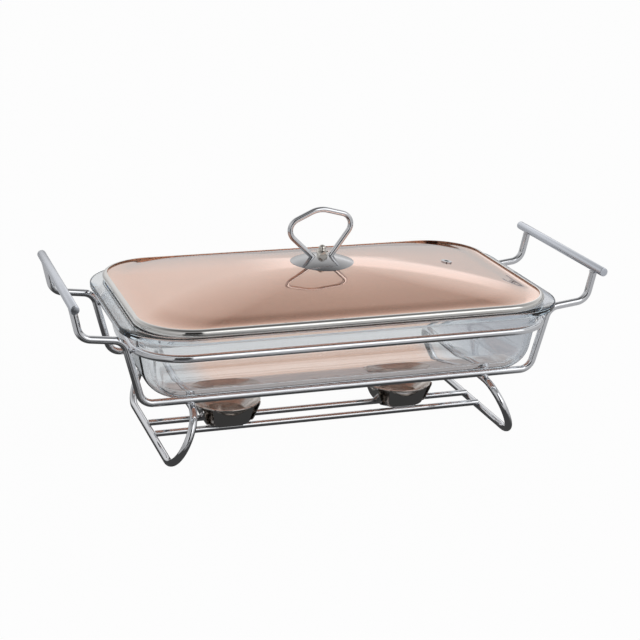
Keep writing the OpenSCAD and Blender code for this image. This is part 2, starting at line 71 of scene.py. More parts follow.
upright_lean = math.radians(14.6)
post_in_bar = 0.0015
ripple_depth = 0.001
merge_gap = 1e-6


def math_node(tree, operation, *values):
    """The result of a Math node. A value that is a socket is linked, and a number is set."""
    sums = tree.nodes.new("ShaderNodeMath")
    sums.operation = operation
    for socket, value in zip(sums.inputs, values):
        if isinstance(value, bpy.types.NodeSocket):
            tree.links.new(value, socket)
        else:
            socket.default_value = value
    return sums.outputs[0]


def node_group(name, inputs, outputs):
    """An empty shader node group with named sockets, and its two end nodes."""
    group = bpy.data.node_groups.new(name, "ShaderNodeTree")
    for label, kind, value in inputs:
        socket = group.interface.new_socket(label, in_out="INPUT", socket_type=kind)
        socket.default_value = value
    for label, kind in outputs:
        group.interface.new_socket(label, in_out="OUTPUT", socket_type=kind)
    return group, group.nodes.new("NodeGroupInput"), group.nodes.new("NodeGroupOutput")


def polish_group():
    """Slow clouding of the colour, fine haze in the gloss and a faint waviness of the plating."""
    haze_fineness = 11.0
    haze_least, haze_most = 0.3, 0.75
    group, given, out = node_group(
        "polish",
        [
            ("Light", "NodeSocketColor", (0.8, 0.8, 0.8, 1)),
            ("Dark", "NodeSocketColor", (0.6, 0.6, 0.6, 1)),
            ("Smooth", "NodeSocketFloat", 0.03),
            ("Hazy", "NodeSocketFloat", 0.1),
            ("Scale", "NodeSocketFloat", 20.0),
        ],
        [
            ("Color", "NodeSocketColor"),
            ("Roughness", "NodeSocketFloat"),
            ("Height", "NodeSocketFloat"),
        ],
    )
    link = group.links.new
    place = group.nodes.new("ShaderNodeTexCoord")
    cloud = group.nodes.new("ShaderNodeTexNoise")
    cloud.inputs["Detail"].default_value = 2.0
    haze = group.nodes.new("ShaderNodeTexNoise")
    haze.inputs["Detail"].default_value = 4.0
    tint = group.nodes.new("ShaderNodeMix")
    tint.data_type = "RGBA"
    gloss = group.nodes.new("ShaderNodeMapRange")
    gloss.inputs["From Min"].default_value = haze_least
    gloss.inputs["From Max"].default_value = haze_most
    link(place.outputs["Object"], cloud.inputs["Vector"])
    link(place.outputs["Object"], haze.inputs["Vector"])
    link(given.outputs["Scale"], cloud.inputs["Scale"])
    link(math_node(group, "MULTIPLY", given.outputs["Scale"], haze_fineness), haze.inputs["Scale"])
    link(cloud.outputs["Fac"], tint.inputs["Factor"])
    link(given.outputs["Light"], tint.inputs["A"])
    link(given.outputs["Dark"], tint.inputs["B"])
    link(haze.outputs["Fac"], gloss.inputs["Value"])
    link(given.outputs["Smooth"], gloss.inputs["To Min"])
    link(given.outputs["Hazy"], gloss.inputs["To Max"])
    link(tint.outputs["Result"], out.inputs["Color"])
    link(gloss.outputs["Result"], out.inputs["Roughness"])
    link(cloud.outputs["Fac"], out.inputs["Height"])
    return group


polish = polish_group()


def new_material(name):
    """A node material, its tree and its Principled shader."""
    mat = bpy.data.materials.new(name)
    mat.use_nodes = True
    return mat, mat.node_tree, mat.node_tree.nodes["Principled BSDF"]


def bump_from(tree, skin, height, strength, distance):
    """Feeds a height into the shader's normal."""
    bump = tree.nodes.new("ShaderNodeBump")
    bump.inputs["Strength"].default_value = strength
    bump.inputs["Distance"].default_value = distance
    tree.links.new(height, bump.inputs["Height"])
    tree.links.new(bump.outputs["Normal"], skin.inputs["Normal"])


def polish_on(tree, skin, light, dark, smooth, hazy, scale):
    """Gives a shader its colour and gloss from the polish group, and returns the group's height."""
    coat = tree.nodes.new("ShaderNodeGroup")
    coat.node_tree = polish
    coat.inputs["Light"].default_value = (*light, 1)
    coat.inputs["Dark"].default_value = (*dark, 1)
    coat.inputs["Smooth"].default_value = smooth
    coat.inputs["Hazy"].default_value = hazy
    coat.inputs["Scale"].default_value = scale
    tree.links.new(coat.outputs["Color"], skin.inputs["Base Color"])
    tree.links.new(coat.outputs["Roughness"], skin.inputs["Roughness"])
    return coat.outputs["Height"]


def polished_metal(name, light, dark, smooth, hazy, scale, ripple):
    """Plated or polished metal, clouded by the shared polish group."""
    mat, tree, skin = new_material(name)
    skin.inputs["Metallic"].default_value = 1.0
    height = polish_on(tree, skin, light, dark, smooth, hazy, scale)
    bump_from(tree, skin, height, ripple, ripple_depth)
    return mat


chrome = polished_metal(
    "chrome",
    light=(0.78, 0.79, 0.81),
    dark=(0.66, 0.67, 0.70),
    smooth=0.03,
    hazy=0.06,
    scale=22,
    ripple=0.01,
)


def edges_of(made):
    """The edges in what an operator has made."""
    return [g for g in made if isinstance(g, bmesh.types.BMEdge)]


def edges_round(ring):
    """The edges at the points of a ring, each once and in order."""
    return list(dict.fromkeys(e for v in ring for e in v.link_edges))


def draw_on(bm, edges, along):
    """Extrudes a row of edges along a vector and returns the new row."""
    made = bmesh.ops.extrude_edge_only(bm, edges=edges)["geom"]
    new = [g for g in made if isinstance(g, bmesh.types.BMVert)]
    bmesh.ops.translate(bm, verts=new, vec=along)
    return [e for e in edges_of(made) if all(v in new for v in e.verts)]


def turn_on(bm, edges, centre, axis, angle, steps):
    """Spins a row of edges about an axis and returns the last row."""
    made = bmesh.ops.spin(bm, geom=edges, cent=centre, axis=axis, angle=angle, steps=steps)
    return edges_of(made["geom_last"])


def form_wire(bm, corners, bends, radius, sides=32, step=math.radians(5)):
    """Feeds a round wire from corner to corner and bends it at each, as a wire former does."""
    course = (corners[1] - corners[0]).normalized()
    start = Matrix.Translation(corners[0]) @ course.to_track_quat("Z", "Y").to_matrix().to_4x4()
    ring = bmesh.ops.create_circle(bm, radius=radius, segments=sides, matrix=start)["verts"]
    edges = edges_round(ring)
    place = corners[0]
    for here, after, bend in zip(corners[1:-1], corners[2:], bends):
        onward = (after - here).normalized()
        angle = course.angle(onward)
        axis = course.cross(onward).normalized()
        back = bend * math.tan(angle / 2)
        edges = draw_on(bm, edges, here - course * back - place)
        centre = here - course * back + axis.cross(course) * bend
        edges = turn_on(bm, edges, centre, axis, angle, math.ceil(angle / step))
        place = here + onward * back
        course = onward
    draw_on(bm, edges, corners[-1] - place)
    bmesh.ops.holes_fill(bm, edges=bm.edges, sides=0)


def finish_piece(name, bm, material, body, sharp=math.radians(35)):
    """Closes a mesh, shades it smooth between sharp edges and sets it on its body."""
    bmesh.ops.remove_doubles(bm, verts=bm.verts, dist=merge_gap)
    bmesh.ops.recalc_face_normals(bm, faces=bm.faces)
    mesh = bpy.data.meshes.new(name)
    bm.to_mesh(mesh)
    bm.free()
    mesh.shade_smooth()
    mesh.set_sharp_from_angle(angle=sharp)
    mesh.materials.append(material)
    piece = bpy.data.objects.new(name, mesh)
    bpy.context.scene.collection.objects.link(piece)
    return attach(piece, body)


def middle(node):
    """The middle of a node's box."""
    low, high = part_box(node)
    return (low + high) / 2


bar_axis = middle("right_handle_bar")
deck_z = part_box("front_side_wire")[0].z + wire_r
post_corner = Vector((bar_axis.x - post_h * math.tan(post_lean), 0, bar_axis.z - post_h))
shelf_corner = post_corner - Vector((shelf_len, 0, shelf_rise))
deck_corner = Vector((shelf_corner.x - upright_h * math.tan(upright_lean), 0, deck_z))
post_way = (Vector((bar_axis.x, 0, bar_axis.z)) - post_corner).normalized()
post_top = Vector((bar_axis.x, 0, bar_axis.z)) - post_way * post_in_bar
side_half = [post_top, post_corner, shelf_corner, deck_corner]
to_left = Matrix.Scale(-1, 4, (1, 0, 0))
side_corners = [to_left @ p for p in side_half] + side_half[::-1]
side_bends = [side_bend_r] * (len(side_corners) - 2)

for node in ("front_side_wire", "back_side_wire"):
    across = Vector((0, middle(node).y, 0))
    bm = bmesh.new()
    form_wire(bm, [p + across for p in side_corners], side_bends, wire_r)
    wire = finish_piece(node + "_formed", bm, chrome, "stand")
    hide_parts(node)


# Ring, legs and rails
# The rest of the welded stand, in the same chromed wire: the ring that the dish hangs in, the
# two leaning leg loops that it stands on and the two rails between them that carry the burners.
def dress(node, material):
    """Gives a node of the frame its finish."""
    nodes[node].data.materials.clear()
    nodes[node].data.materials.append(material)


for node in ("dish_ring", "left_leg", "right_leg", "front_rail", "back_rail"):
    dress(node, chrome)


# Welds
# Small resistance welds where the wires cross, squeezed flat and plated over with the stand, and
# fillets of weld under the handle bars.
weld_r = 0.0026
weld_squeezed = 0.0016
weld_lump = 0.16
weld_grain = 700
weld_sink = 0.0004
rail_weld_drop = 0.0006
rail_weld_size = (0.0016, 0.0032, 0.0030)
post_weld_drop = 0.0028
post_weld_size = (0.0038, 0.0042, 0.0016)
ring_z = middle("dish_ring").z
upright_x = deck_corner.x + (ring_z - deck_z) * math.tan(upright_lean)
side_y = middle("back_side_wire").y
leg_top_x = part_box("right_leg")[0].x + wire_r
rail_end_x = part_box("front_rail")[1].x
rail_middle = middle("front_rail")


def weld(bm, place, size):
    """A lumpy bead, as long as it is given along each axis."""
    seat = Matrix.Translation(place) @ Matrix.Diagonal((*size, 1))
    made = bmesh.ops.create_icosphere(bm, subdivisions=3, radius=1, matrix=seat)
    for v in made["verts"]:
        out = v.co - place
        v.co = place + out * (1 + weld_lump * noise.noise(v.co * weld_grain))


ring_weld = Vector((upright_x - wire_r - weld_sink, side_y, ring_z))
leg_weld = Vector((leg_top_x, side_y, deck_z - wire_r))
rail_weld = Vector((rail_end_x - weld_sink, abs(rail_middle.y), rail_middle.z - rail_weld_drop))
post_weld = Vector((post_top.x, side_y, post_top.z)) - post_way * post_weld_drop
bm = bmesh.new()
for sx in (-1, 1):
    for sy in (-1, 1):
        corner = Vector((sx, sy, 1))
        weld(bm, corner * ring_weld, (weld_r, weld_r, weld_r))
        weld(bm, corner * leg_weld, (weld_r, weld_r, weld_squeezed))
        weld(bm, corner * rail_weld, rail_weld_size)
        weld(bm, corner * post_weld, post_weld_size)
welds = finish_piece("weld_beads", bm, chrome, "stand")


# Handle bars
# Turned steel rods with a satin plating, eased at their ends and welded across the posts.
bar_r = 0.0041
bar_ease = 0.0008
rim_level = 1e-5
satin = polished_metal(
    "satin_bar",
    light=(0.71, 0.74, 0.80),
    dark=(0.63, 0.66, 0.72),
    smooth=0.22,
    hazy=0.27,
    scale=9,
    ripple=0.0,
)
for node in ("left_handle_bar", "right_handle_bar"):
    low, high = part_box(node)
    bm = bmesh.new()
    bmesh.ops.create_cone(
        bm,
        cap_ends=True,
        segments=64,
        radius1=bar_r,
        radius2=bar_r,
        depth=high.y - low.y,
        matrix=Matrix.Translation(middle(node)) @ Matrix.Rotation(math.pi / 2, 4, "X"),
    )
    bmesh.ops.bevel(
        bm,
        geom=[e for e in bm.edges if abs(e.verts[0].co.y - e.verts[1].co.y) < rim_level],
        offset=bar_ease,
        offset_type="OFFSET",
        segments=3,
        profile=0.5,
        affect="EDGES",
        material=-1,
    )
    bar = finish_piece(node + "_turned", bm, satin, "stand")
    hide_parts(node)


# Burner brackets
# Polished sheet-steel holders, cut as a cross and folded up into four flared tabs with rounded
# corners. The tabs dip where the pan's brim passes over them. The holders stand loose on the rails.
sheet_t = 0.001
tab_lean = math.radians(20)
tab_foot_half = 0.0115
tab_corner_r = 0.006
tab_corner_steps = 5
tab_top_half = 0.0195
tab_edge_steps = 4
tab_tip_r = 0.002
tab_tip_steps = 4
tab_columns = 16
fold_r = 0.0025
fold_steps = 6
brim_foot_r = 0.0203
brim_foot_z = 0.0088
brim_slope = 0.9545
brim_gap = 0.0006
bead_inner_r = 0.0312
bead_outer_r = 0.0339
reach_step = 0.0001
bracket_steel = polished_metal(
    "bracket_steel",
    light=(0.66, 0.65, 0.64),
    dark=(0.50, 0.49, 0.48),
    smooth=0.05,
    hazy=0.10,
    scale=40,
    ripple=0.12,
)


def tab_rows(length):
    """Distance up the tab and half width of each row of its outline, from the fold to the tip."""
    wide = tab_foot_half + tab_corner_r
    straight = length - tab_corner_r - tab_tip_r
    rows = []
    for i in range(tab_corner_steps + 1):
        a = math.radians(90 * i / tab_corner_steps)
        rows.append((tab_corner_r * (1 - math.cos(a)), tab_foot_half + tab_corner_r * math.sin(a)))
    for i in range(1, tab_edge_steps + 1):
        share = i / tab_edge_steps
        rows.append((tab_corner_r + straight * share, wide + (tab_top_half - wide) * share))
    for i in range(1, tab_tip_steps + 1):
        a = math.radians(90 * i / tab_tip_steps)
        far = length - tab_tip_r * (1 - math.sin(a))
        rows.append((far, tab_top_half - tab_tip_r * (1 - math.cos(a))))
    return rows


def tab_reach(across, foot_y, top_z):
    """Height that a tab may reach under the pan's brim and bead, at a distance from its middle."""
    z = top_z
    while z > 0:
        r = math.hypot(across, foot_y + z * math.tan(tab_lean))
        under = brim_foot_z + (min(r, bead_inner_r) - brim_foot_r) * brim_slope - brim_gap
        if r > bead_outer_r or z <= under:
            return z
        z -= reach_step
    return 0


def ends_of(edges):
    """The points of a row of edges, each once and in order."""
    return list(dict.fromkeys(v for e in edges for v in e.verts))


def folded_bracket(bm, foot_half, top_z):
    """The outer skin of a bracket that stands on the origin, given a thickness inwards."""
    fold_y = foot_half + fold_r * math.tan(tab_lean) - fold_r / math.cos(tab_lean)
    fold_z = fold_r * (1 - math.sin(tab_lean))
    inner_y = foot_half - sheet_t / math.cos(tab_lean)
    up = Vector((0, math.sin(tab_lean), math.cos(tab_lean)))
    rows = tab_rows((top_z - fold_z) / up.z)
    feet = []
    for side in range(4):
        before = set(bm.verts)
        places = [tab_foot_half * (2 * i / tab_columns - 1) for i in range(tab_columns + 1)]
        line = [bm.verts.new((x, fold_y, 0)) for x in places]
        edges = [bm.edges.new(pair) for pair in zip(line, line[1:])]
        rise = math.pi / 2 - tab_lean
        edges = turn_on(bm, edges, (0, fold_y, fold_r), (1, 0, 0), rise, fold_steps)
        settled = []
        for (near, narrow), (far, wide) in zip(rows, rows[1:]):
            edges = draw_on(bm, edges, up * (far - near))
            row = ends_of(edges)
            bmesh.ops.scale(bm, verts=row, vec=(wide / narrow, 1, 1))
            settled.append((far, wide, row))
        for far, wide, row in settled:
            for v in row:
                top = tab_reach(tab_top_half * v.co.x / wide, inner_y, top_z)
                v.co -= up * far * (1 - (top - fold_z) / (top_z - fold_z))
        new = [v for v in bm.verts if v not in before]
        bmesh.ops.rotate(bm, verts=new, matrix=Matrix.Rotation(side * math.pi / 2, 3, "Z"))
        feet.append(line)
    base = bm.faces.new(feet[0] + feet[3] + feet[2] + feet[1])
    bmesh.ops.recalc_face_normals(bm, faces=bm.faces)
    if base.normal.z > 0:
        bmesh.ops.reverse_faces(bm, faces=bm.faces)
    bmesh.ops.solidify(bm, geom=bm.faces[:], thickness=sheet_t)


for side in ("left", "right"):
    node = side + "_bracket"
    low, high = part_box(node)
    spot = middle(node)
    tall = high.z - low.z
    bm = bmesh.new()
    folded_bracket(bm, (high.x - low.x) / 2 - tall * math.tan(tab_lean), tall)
    bmesh.ops.translate(bm, verts=bm.verts, vec=(spot.x, spot.y, low.z))
    bracket = finish_piece(node + "_folded", bm, bracket_steel, side + "_holder")
    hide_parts(node)


# Burner pans
# Spun steel pans with a straight well for a tealight, a flared brim and a beaded rim. The lathe
# leaves fine rings round the pan's axis.
lathe_mark = 0.03
lathe_mark_depth = 0.0003


def spun_steel(name, centre):
    """Steel with fine turned rings round a vertical axis."""
    mat, tree, skin = new_material(name)
    skin.inputs["Metallic"].default_value = 1.0
    place = tree.nodes.new("ShaderNodeTexCoord")
    move = tree.nodes.new("ShaderNodeMapping")
    move.inputs["Location"].default_value = (-centre.x, -centre.y, 0)
    rings = tree.nodes.new("ShaderNodeTexWave")
    rings.wave_type = "RINGS"
    rings.rings_direction = "Z"
    rings.inputs["Scale"].default_value = 150.0
    rings.inputs["Distortion"].default_value = 1.0
    rings.inputs["Detail"].default_value = 1.0
    tree.links.new(place.outputs["Object"], move.inputs["Vector"])
    tree.links.new(move.outputs["Vector"], rings.inputs["Vector"])
    polish_on(
        tree,
        skin,
        light=(0.78, 0.73, 0.69),
        dark=(0.70, 0.65, 0.61),
        smooth=0.20,
        hazy=0.26,
        scale=50,
    )
    bump_from(tree, skin, rings.outputs["Fac"], lathe_mark, lathe_mark_depth)
    return mat


for node in ("left_pan", "right_pan"):
    dress(node, spun_steel(node + "_steel", middle(node)))


# Glass dish
# One pressing of clear, faintly blue glass: a floor with a large round foot, leaning walls and a
# level flange that the lid sits on. Its long edges gather the tint.
dish_low, dish_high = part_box("glass_dish")
dish_h = dish_high.z - dish_low.z
dish_corner_r = 0.056
flange_w = 0.014
flange_t = 0.006
dish_wall = 0.005
dish_lean = math.radians(10)
dish_floor_r = 0.028
mouth_r = 0.0018
mouth_lap = 0.0003
flange_top_r = 0.0014
flange_foot_r = 0.0018
neck_r = 0.003
mould_ripple = 0.02
mould_ripple_depth = 0.002


def arc(centre_u, centre_z, radius, first, last, steps):
    """Points of an arc in a section, from one angle to another in degrees."""
    turn = [math.radians(first + (last - first) * i / steps) for i in range(steps + 1)]
    return [(centre_u + radius * math.cos(a), centre_z + radius * math.sin(a)) for a in turn]


def sweep_round(bm, section, half_x, half_y, corner_r, low, closed=False, corner_steps=24):
    """Carries a section round a rounded rectangle. The section's first number runs outwards from a
    corner's centre, its second runs up from the given height."""
    row = [bm.verts.new((half_x - corner_r + u, corner_r - half_y, low + z)) for u, z in section]
    pairs = list(zip(row, row[1:] + row[:1]))
    edges = [bm.edges.new(p) for p in (pairs if closed else pairs[:-1])]
    for side in range(4):
        quarter = Matrix.Rotation(side * math.pi / 2, 3, "Z")
        reach_x, reach_y = (half_x, half_y) if side % 2 == 0 else (half_y, half_x)
        edges = draw_on(bm, edges, quarter @ Vector((0, 2 * (reach_y - corner_r), 0)))
        centre = quarter @ Vector((reach_x - corner_r, reach_y - corner_r, 0))
        edges = turn_on(bm, edges, centre, (0, 0, 1), math.pi / 2, corner_steps)
    bmesh.ops.remove_doubles(bm, verts=bm.verts, dist=merge_gap)


def clear_glass():
    """Clear pressed glass with a slow ripple from the mould and a tint in its depth."""
    mat, tree, skin = new_material("clear_glass")
    skin.inputs["Base Color"].default_value = (1, 1, 1, 1)
    skin.inputs["Roughness"].default_value = 0.0
    skin.inputs["IOR"].default_value = 1.48
    skin.inputs["Transmission Weight"].default_value = 1.0
    place = tree.nodes.new("ShaderNodeTexCoord")
    ripple = tree.nodes.new("ShaderNodeTexNoise")
    ripple.inputs["Scale"].default_value = 26.0
    ripple.inputs["Detail"].default_value = 1.0
    tree.links.new(place.outputs["Object"], ripple.inputs["Vector"])
    bump_from(tree, skin, ripple.outputs["Fac"], mould_ripple, mould_ripple_depth)
    depth = tree.nodes.new("ShaderNodeVolumeAbsorption")
    depth.inputs["Color"].default_value = (0.36, 0.62, 0.78, 1)
    depth.inputs["Density"].default_value = 12.0
    tree.links.new(depth.outputs["Volume"], tree.nodes["Material Output"].inputs["Volume"])
    return mat


wall_u = dish_corner_r - flange_w
flange_z = dish_h - flange_t
lean_tan = math.tan(dish_lean)
lean_deg = math.degrees(dish_lean)


def wall_at(z):
    """How far out the dish's outer wall is at a height, from a corner's centre."""
    return wall_u - (flange_z - z) * lean_tan


foot_u = wall_at(dish_floor_r) - dish_floor_r / math.cos(dish_lean)
bowl_r = dish_floor_r - dish_wall
mouth_u = wall_at(dish_h) - dish_wall / math.cos(dish_lean) + mouth_r - mouth_lap
flange_top_u = dish_corner_r - flange_top_r
flange_foot_u = dish_corner_r - flange_foot_r
neck_u = wall_u + neck_r * math.tan(math.radians((90 - lean_deg) / 2))
dish_section = (
    [(0, dish_wall)]
    + arc(foot_u, dish_floor_r, bowl_r, -90, -lean_deg, steps=14)
    + arc(mouth_u, dish_h - mouth_r, mouth_r, 180 - lean_deg, 90, steps=5)
    + arc(flange_top_u, dish_h - flange_top_r, flange_top_r, 90, 0, steps=6)
    + arc(flange_foot_u, flange_z + flange_foot_r, flange_foot_r, 0, -90, steps=6)
    + arc(neck_u, flange_z - neck_r, neck_r, 90, 180 - lean_deg, steps=6)
    + arc(foot_u, dish_floor_r, dish_floor_r, -lean_deg, -90, steps=16)
    + [(0, 0)]
)
bm = bmesh.new()
sweep_round(bm, dish_section, dish_high.x, dish_high.y, dish_corner_r, dish_low.z)
bmesh.ops.holes_fill(bm, edges=bm.edges, sides=0)
dish = finish_piece("glass_dish_pressed", bm, clear_glass(), "dish", sharp=math.radians(60))
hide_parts("glass_dish")


# Lid glass
# A sheet of tempered glass, sagged into a low dome and coated, so that it is part mirror and part
# copper-tinted window. It is bored for the knob's screw and for the vent.
lid_low, lid_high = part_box("lid_glass")
lid_glass_t = 0.005
lid_border = 0.006
lid_arris = 0.0014
glass_r = 0.0514
dome_rows = 40
crown_share = 0.12
rim_share = 0.88
screw_hole_r = 0.0032
vent_hole_r = 0.00365
vent_drill_len = 0.03
lid_rim_z = lid_low.z + lid_glass_t
dome_h = (lid_high.z - lid_rim_z) / (1 - crown_share**2)
dome_x, dome_y, dome_r = lid_high.x - lid_border, lid_high.y - lid_border, glass_r - lid_border


def copper_glass():
    """Coated glass: a plain share of copper mirror over copper-tinted window, faintly clouded."""
    mat, tree, skin = new_material("copper_glass")
    skin.inputs["Metallic"].default_value = 0.76
    skin.inputs["Coat Weight"].default_value = 0.8
    skin.inputs["Transmission Weight"].default_value = 1.0
    skin.inputs["IOR"].default_value = 1.5
    polish_on(
        tree,
        skin,
        light=(0.85, 0.56, 0.43),
        dark=(0.81, 0.52, 0.39),
        smooth=0.05,
        hazy=0.08,
        scale=14,
    )
    return mat


def reshape_loop(bm, loop, old, new):
    """Reshapes a rounded rectangle, given as half sizes, corner radius and height, into another."""
    for sx in (-1, 1):
        for sy in (-1, 1):
            quarter = [v for v in loop if v.co.x * sx > 0 and v.co.y * sy > 0]
            centre = Vector((sx * (old[0] - old[2]), sy * (old[1] - old[2]), old[3]))
            moved = Vector((sx * (new[0] - new[2]), sy * (new[1] - new[2]), new[3]))
            grow = (new[2] / old[2], new[2] / old[2], 1)
            bmesh.ops.scale(bm, verts=quarter, vec=grow, space=Matrix.Translation(-centre))
            bmesh.ops.translate(bm, verts=quarter, vec=moved - centre)


def loft_loops(bm, shapes, corner_points=20):
    """Extrudes one loop through a row of rounded rectangles."""
    radius, z = shapes[0][2:]
    points = 4 * corner_points
    seat = Matrix.Translation((0, 0, z)) @ Matrix.Rotation(math.pi / points, 4, "Z")
    ring = bmesh.ops.create_circle(bm, radius=radius, segments=points, matrix=seat)["verts"]
    edges = edges_round(ring)
    reshape_loop(bm, ring, (radius, radius, radius, z), shapes[0])
    for old, new in zip(shapes, shapes[1:]):
        edges = draw_on(bm, edges, (0, 0, 0))
        reshape_loop(bm, ends_of(edges), old, new)


def dome_rise(share):
    """Height of the dome above its rim at a share of its half sizes. It eases into the border."""
    if share <= rim_share:
        return dome_h * (1 - share**2)
    t = (share - rim_share) / (1 - rim_share)
    start = dome_h * (1 - rim_share**2)
    slope = -2 * dome_h * rim_share * (1 - rim_share)
    return start * (2 * t**3 - 3 * t**2 + 1) + slope * (t**3 - 2 * t**2 + t)


def dome_loop(share, sunk):
    """One level loop of the dome. Its corners grow rounder towards the crown."""
    corner = share * (dome_y + (dome_r - dome_y) * share**2)
    return (share * dome_x, share * dome_y, corner, lid_rim_z + dome_rise(share) - sunk)


def edge_loop(inset, drop):
    """One level loop round the edge of the glass."""
    return (lid_high.x - inset, lid_high.y - inset, glass_r - inset, lid_rim_z - drop)


def bored(bm, place, turn, radius, length):
    """Cuts a round hole through a closed mesh with a boolean, and gives back the cut mesh."""
    mesh = bpy.data.meshes.new("uncut")
    bmesh.ops.recalc_face_normals(bm, faces=bm.faces)
    bm.to_mesh(mesh)
    bm.free()
    drill = bmesh.new()
    bmesh.ops.create_cone(
        drill,
        cap_ends=True,
        segments=48,
        radius1=radius,
        radius2=radius,
        depth=length,
        matrix=Matrix.Translation(place) @ Matrix.Rotation(turn, 4, "Y"),
    )
    drill_mesh = bpy.data.meshes.new("drill")
    drill.to_mesh(drill_mesh)
    drill.free()
    blank = bpy.data.objects.new("uncut", mesh)
    cutter = bpy.data.objects.new("drill", drill_mesh)
    bpy.context.scene.collection.objects.link(blank)
    bpy.context.scene.collection.objects.link(cutter)
    cut = blank.modifiers.new("bore", "BOOLEAN")
    cut.operation = "DIFFERENCE"
    cut.solver = "MANIFOLD"
    cut.object = cutter
    bpy.context.view_layer.update()
    result = bmesh.new()
    result.from_object(blank, bpy.context.evaluated_depsgraph_get())
    bpy.data.objects.remove(blank)
    bpy.data.objects.remove(cutter)
    return result


shares = [crown_share + (1 - crown_share) * i / dome_rows for i in range(dome_rows + 1)]
bore_top = (screw_hole_r, screw_hole_r, screw_hole_r, lid_high.z)
bore_foot = (screw_hole_r, screw_hole_r, screw_hole_r, lid_high.z - lid_glass_t)
lid_loops = [bore_top]
lid_loops += [dome_loop(share, 0) for share in shares]
lid_loops += [edge_loop(lid_arris, 0), edge_loop(0, lid_arris)]
lid_loops += [edge_loop(0, lid_glass_t - lid_arris), edge_loop(lid_arris, lid_glass_t)]
lid_loops += [dome_loop(share, lid_glass_t) for share in reversed(shares)]
lid_loops += [bore_foot, bore_top]
bm = bmesh.new()
loft_loops(bm, lid_loops)
bmesh.ops.remove_doubles(bm, verts=bm.verts, dist=merge_gap)
vent_middle = middle("vent_eyelet")
vent_tilt = math.atan(2 * dome_h * vent_middle.x / dome_x**2)
bm = bored(bm, vent_middle, vent_tilt, vent_hole_r, vent_drill_len)
lid_glass = finish_piece("lid_glass_dome", bm, copper_glass(), "lid", sharp=math.radians(40))
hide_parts("lid_glass")


# Rim band
# A strip of polished stainless steel rolled into a C over the edge of the lid glass, closed all
# round. It is what the lid rests on.
band_low, band_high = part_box("lid_band")
band_r = 0.053
band_t = 0.0012
band_foot = 0.006
band_roll_r = (band_high.z - band_low.z) / 2
band_roll_u = band_r - band_roll_r
band_hollow_r = band_roll_r - band_t
lip_turn = 98
lip_undercut = 23
band_steel = polished_metal(
    "band_steel",
    light=(0.74, 0.73, 0.71),
    dark=(0.64, 0.63, 0.61),
    smooth=0.06,
    hazy=0.12,
    scale=14,
    ripple=0.03,
)
band_section = (
    arc(band_roll_u, band_roll_r, band_roll_r, lip_turn, -90, steps=22)
    + [(band_r - band_foot, 0), (band_r - band_foot, band_t)]
    + arc(band_roll_u, band_roll_r, band_hollow_r, -90, lip_turn - lip_undercut, steps=14)
)
bm = bmesh.new()
sweep_round(bm, band_section, band_high.x, band_high.y, band_r, band_low.z, closed=True)
band = finish_piece("lid_band_rolled", bm, band_steel, "lid")
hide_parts("lid_band")


# Vent and fastenings of the lid
# Plated steel pieces: the eyelet in the steam hole, and the screw and washer under the glass.
nickel = polished_metal(
    "nickel",
    light=(0.76, 0.73, 0.68),
    dark=(0.64, 0.61, 0.56),
    smooth=0.05,
    hazy=0.10,
    scale=90,
    ripple=0.01,
)
dress("vent_eyelet", chrome)
dress("knob_screw", nickel)
dress("knob_washer", nickel)


# Knob plate
# A round plate of brushed steel, pressed to a low crown with a flat seat for the nut. Its edge is
# turned down to just above the glass, and follows the dome down at the front and the back.
plate_low, plate_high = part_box("knob_plate")
plate_r = plate_high.x
plate_bore_r = 0.0032
plate_seat_r = 0.0065
plate_crown_r = 0.083
plate_edge_t = 0.0006
plate_skirt = 0.0011
plate_hem = 0.004
plate_droop = 0.0010
droop_start_r = 2 * plate_r / 3
plate_steel = polished_metal(
    "plate_steel",
    light=(0.53, 0.53, 0.54),
    dark=(0.44, 0.44, 0.45),
    smooth=0.12,
    hazy=0.17,
    scale=60,
    ripple=0.01,
)
seat_h = plate_high.z - plate_low.z
crown_low = seat_h - math.sqrt(plate_crown_r**2 - plate_seat_r**2)
crown_start = math.degrees(math.acos(plate_seat_r / plate_crown_r))
crown_end = math.degrees(math.acos(plate_r / plate_crown_r))
plate_section = (
    [(plate_bore_r, seat_h)]
    + arc(0, crown_low, plate_crown_r, crown_start, crown_end, steps=16)
    + [(plate_r - plate_edge_t, -plate_skirt), (plate_r - plate_hem, 0), (plate_bore_r, 0)]
)


def spin_round(bm, section, low):
    """Turns a closed section, given as radius and height, about the middle axis."""
    row = [bm.verts.new((r, 0, low + z)) for r, z in section]
    edges = [bm.edges.new(pair) for pair in zip(row, row[1:] + row[:1])]
    bmesh.ops.spin(
        bm, geom=edges, cent=(0, 0, 0), axis=(0, 0, 1), angle=math.tau, steps=96, use_merge=True
    )


bm = bmesh.new()
spin_round(bm, plate_section, plate_low.z)
for v in bm.verts:
    past = max(0.0, math.hypot(v.co.x, v.co.y) - droop_start_r)
    v.co.z -= plate_droop * past / (plate_r - droop_start_r) * (v.co.y / plate_r) ** 2
plate = finish_piece("knob_plate_pressed", bm, plate_steel, "lid")
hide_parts("knob_plate")


# Acorn nut
# A plated brass acorn nut that holds the knob down, turned from hexagon bar with eased corners.
nut_shrink = 0.93
nut_foot = Matrix.Translation((0, 0, -plate_high.z))
bm = bmesh.new()
bm.from_mesh(nodes["knob_cap_nut"].data)
bmesh.ops.remove_doubles(bm, verts=bm.verts, dist=merge_gap)
bmesh.ops.scale(bm, verts=bm.verts, vec=(nut_shrink, nut_shrink, nut_shrink), space=nut_foot)
nut = finish_piece("knob_cap_nut_turned", bm, nickel, "lid")
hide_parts("knob_cap_nut")


# Gaskets
# Two rings of black rubber that keep the metal off the glass.
rubber_grain = 0.2
rubber_grain_depth = 0.0002


